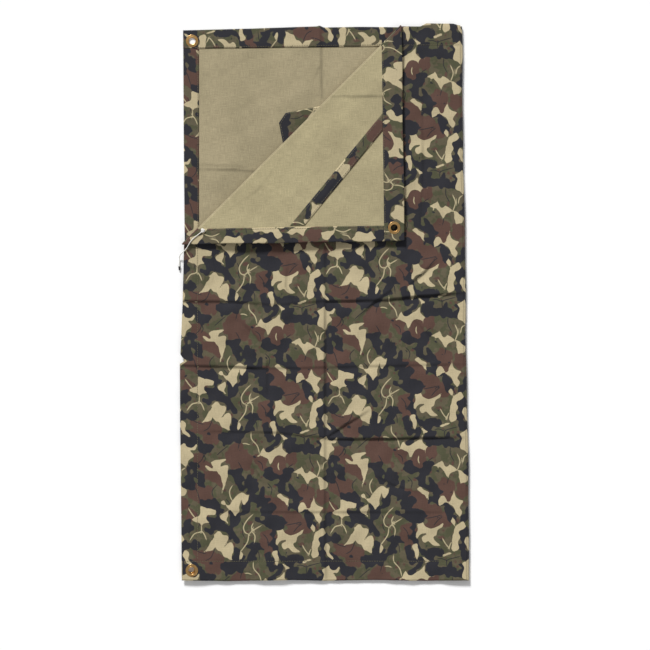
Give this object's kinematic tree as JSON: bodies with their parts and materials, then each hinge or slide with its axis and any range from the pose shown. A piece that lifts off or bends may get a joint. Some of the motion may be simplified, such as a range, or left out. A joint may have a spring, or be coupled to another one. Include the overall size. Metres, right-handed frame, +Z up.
{
  "type": "layout field blind",
  "caption": "Camouflage cloth ground screen with brass eyelets, folded in half, one corner turned back along a diagonal fold.",
  "frame": {"origin": "centre of the folded cloth's footprint, on the ground under it", "axes": "+Y along the folded cloth's long side towards the turned-back corner, +X towards the folded edge, +Z up"},
  "size_m": [0.5195, 0.984, 0.0156],
  "materials": {
    "printed_cloth": "matt woven cloth with a printed camouflage of olive, brown, dark blue-grey and tan",
    "plain_cloth": "matt woven cloth, plain khaki reverse of the print",
    "sewing_thread": "matt twisted thread",
    "brass": "stamped brass, slightly dulled",
    "white_cord": "matt twisted cord",
    "dark_tip": "matt shrunk sleeve"
  },
  "bodies": {
    "back_half": {"back_panel": "plain_cloth", "back_top_hem": "printed_cloth", "back_left_hem": "printed_cloth", "back_bottom_hem": "printed_cloth", "back_patch": "printed_cloth", "back_top_seam": "sewing_thread", "back_left_seam": "sewing_thread", "back_bottom_seam": "sewing_thread", "back_patch_seam": "sewing_thread", "back_top_eyelet": "brass", "back_top_washer": "brass", "back_bottom_eyelet": "brass", "back_bottom_washer": "brass", "book_spine": "printed_cloth"},
    "front_half": {"front_panel": "printed_cloth", "front_top_hem": "printed_cloth", "front_left_hem": "printed_cloth", "front_bottom_hem": "printed_cloth", "front_top_seam": "sewing_thread", "front_left_seam": "sewing_thread", "front_bottom_seam": "sewing_thread", "front_bottom_eyelet": "brass", "front_bottom_washer": "brass", "corner_spine": "plain_cloth"},
    "corner_flap": {"flap_panel": "plain_cloth", "flap_top_hem": "printed_cloth", "flap_side_hem": "printed_cloth", "flap_top_seam": "sewing_thread", "flap_side_seam": "sewing_thread", "flap_tape": "printed_cloth", "flap_tape_seams": "sewing_thread", "flap_eyelet": "brass", "flap_washer": "brass", "cord_knot": "white_cord", "tie_cord": "white_cord", "cord_tip": "dark_tip"}
  },
  "joints": [
    {"name": "book_fold", "type": "hinge", "parent": "back_half", "child": "front_half", "pos_m": [0.2482, 0, 0.0038], "axis": [-0.0142, 0.9999, 0], "range_deg": [0, 180], "deforming": ["book_spine"]},
    {"name": "corner_fold", "type": "hinge", "parent": "front_half", "child": "corner_flap", "pos_m": [-0.056, 0.3, 0.0088], "axis": [-0.7071, -0.7071, 0], "range_deg": [0, 180], "deforming": ["corner_spine"]}
  ]
}
